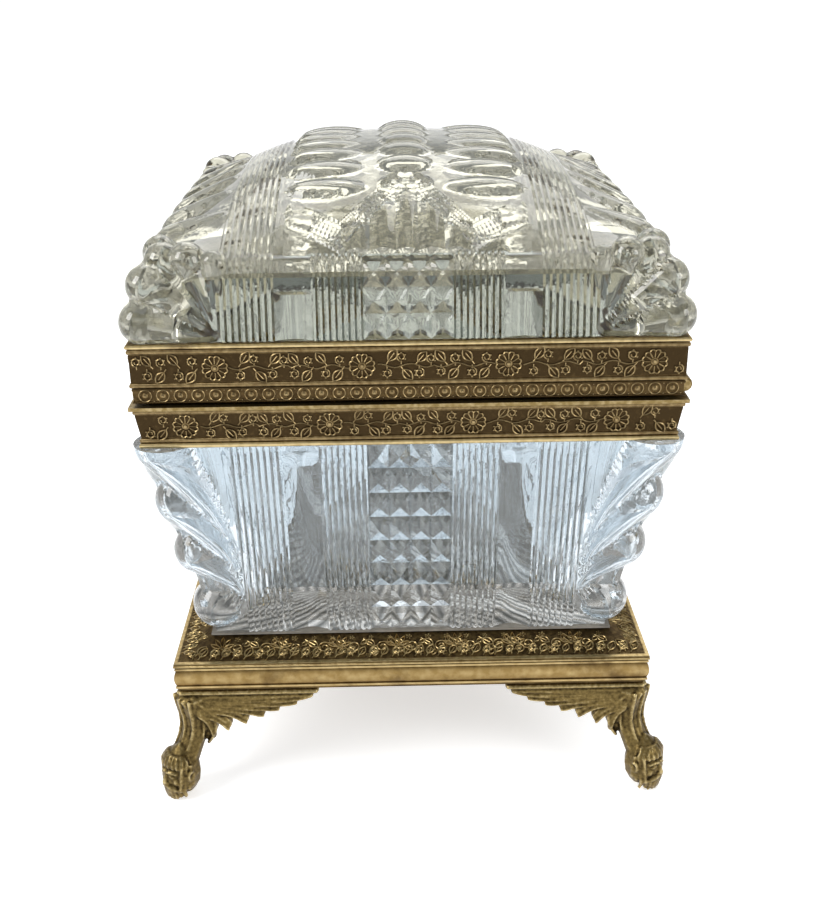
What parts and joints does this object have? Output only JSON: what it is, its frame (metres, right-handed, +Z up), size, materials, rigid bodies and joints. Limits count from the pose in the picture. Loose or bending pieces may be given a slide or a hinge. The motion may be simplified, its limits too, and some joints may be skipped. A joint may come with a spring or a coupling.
{
  "type": "glass casket box",
  "caption": "Cut-crystal casket with a domed hinged lid, gilt brass mounts, a pitched plinth and winged mask feet.",
  "frame": {"origin": "on the ground under the middle of the casket", "axes": "+Z up, front face toward -Y, hinge along the +X side"},
  "size_m": [0.1254, 0.1314, 0.1519],
  "materials": {
    "foot_brass": "aged cast gilt brass, dark in the recesses",
    "screw_brass": "dull turned brass",
    "plinth_gilt": "worn gilding over stamped sheet brass",
    "core_wood": "plain unpolished board",
    "cement": "dark dry setting cement",
    "body_crystal": "clear cut lead crystal, faintly blue",
    "lid_crystal": "clear cut lead crystal, faintly warm",
    "band_brass": "stamped sheet brass, browned gilding",
    "wire_gilt": "drawn half-round wire, bright on its crest",
    "hinge_brass": "drawn brass tube and strip, rubbed at the knuckles"
  },
  "bodies": {
    "casket": {"foot_front_left": "foot_brass", "foot_front_right": "foot_brass", "foot_back_left": "foot_brass", "foot_back_right": "foot_brass", "foot_screws": "screw_brass", "plinth_plate": "plinth_gilt", "plinth_core": "core_wood", "plinth_band": "plinth_gilt", "plinth_top": "plinth_gilt", "cement_bed": "cement", "body_glass": "body_crystal", "body_cement_ring": "cement", "body_band": "band_brass", "body_lower_wire": "wire_gilt", "body_rim_flange": "band_brass", "body_inner_lip": "band_brass", "hinge_leaf_body": "hinge_brass", "hinge_pin": "hinge_brass"},
    "lid": {"hinge_leaf_lid": "hinge_brass", "lid_rim_plate": "band_brass", "lid_pearl_moulding": "band_brass", "lid_band": "band_brass", "lid_cement_ring": "cement", "lid_top_wire": "wire_gilt", "lid_glass": "lid_crystal"}
  },
  "joints": [
    {"name": "lid_hinge", "type": "hinge", "parent": "casket", "child": "lid", "pos_m": [0.0596, 0, 0.10515], "axis": [0, 1, 0], "range_deg": [0, 100]}
  ]
}
